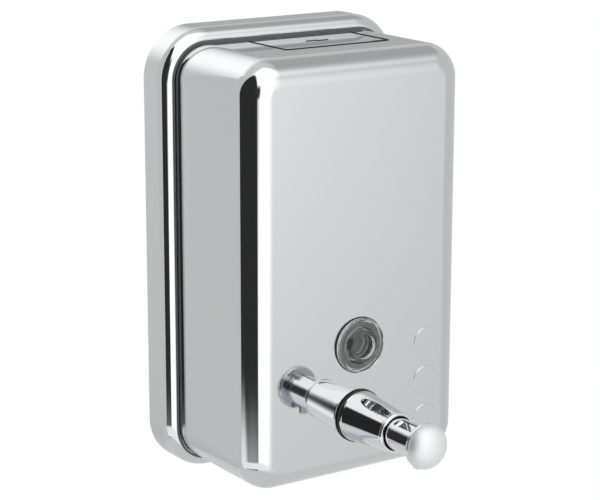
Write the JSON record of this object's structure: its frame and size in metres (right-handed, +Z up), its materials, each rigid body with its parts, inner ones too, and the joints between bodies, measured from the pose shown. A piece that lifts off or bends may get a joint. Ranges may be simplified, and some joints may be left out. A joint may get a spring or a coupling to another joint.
{
  "type": "soap dispenser",
  "caption": "Wall-hung polished steel soap dispenser: back tray, drawn body shell, hinged filler lid with catch, sight glass and spring-return push pump.",
  "frame": {"origin": "on the wall, at the centre of the wall plate's back face and of the tray's height and width", "axes": "+X to the right seen from the front, +Y into the wall (the front faces -Y), +Z up"},
  "size_m": [0.1272, 0.1349, 0.206],
  "materials": {
    "polished_steel": "mirror polished stainless steel sheet",
    "plain_steel": "plain mill finish, hidden pieces",
    "chrome": "bright chromium plate",
    "rubber": "moulded, dull",
    "moulding": "injection moulded",
    "clear_acrylic": "clear moulded acrylic"
  },
  "bodies": {
    "housing": {"back_tray": "polished_steel", "body_shell": "polished_steel", "wall_plate": "plain_steel", "rear_hanger": "plain_steel", "lock_screw": "plain_steel", "filler_frame": "plain_steel", "hinge_pin": "plain_steel", "sight_lens": "clear_acrylic", "sight_gasket": "rubber", "sight_washer": "rubber", "sight_nut": "moulding", "barrel_gasket": "rubber", "pump_barrel": "chrome", "pump_cylinder": "moulding", "inner_gasket": "rubber", "return_spring": "plain_steel", "cylinder_cap": "moulding", "suction_tube": "moulding"},
    "lid": {"filler_lid": "polished_steel", "latch_rivet_left": "plain_steel", "latch_rivet_right": "plain_steel"},
    "latch": {"latch_leaf": "plain_steel"},
    "plunger": {"piston_rod": "chrome", "push_knob": "chrome", "spout_nozzle": "chrome", "piston": "moulding", "piston_seal": "rubber"},
    "ball": {"inlet_ball": "plain_steel"}
  },
  "joints": [
    {"name": "plunger_push", "type": "slide", "parent": "housing", "child": "plunger", "axis": [0, 1, 0], "range_m": [0, 0.012], "stiffness_N_per_m": 350, "springref_m": -0.006, "deforming": ["return_spring"]},
    {"name": "lid_hinge", "type": "hinge", "parent": "housing", "child": "lid", "pos_m": [0.00545, -0.0277, 0.0927], "axis": [-1, 0, 0], "range_deg": [0, 95]},
    {"name": "latch_flex", "type": "hinge", "parent": "lid", "child": "latch", "pos_m": [0.00545, -0.0341, 0.0943], "axis": [1, 0, 0], "range_deg": [0, 10], "stiffness_Nm_per_rad": 0.05},
    {"name": "ball_lift", "type": "slide", "parent": "housing", "child": "ball", "axis": [0, 0, 1], "range_m": [0, 0.0015]}
  ]
}
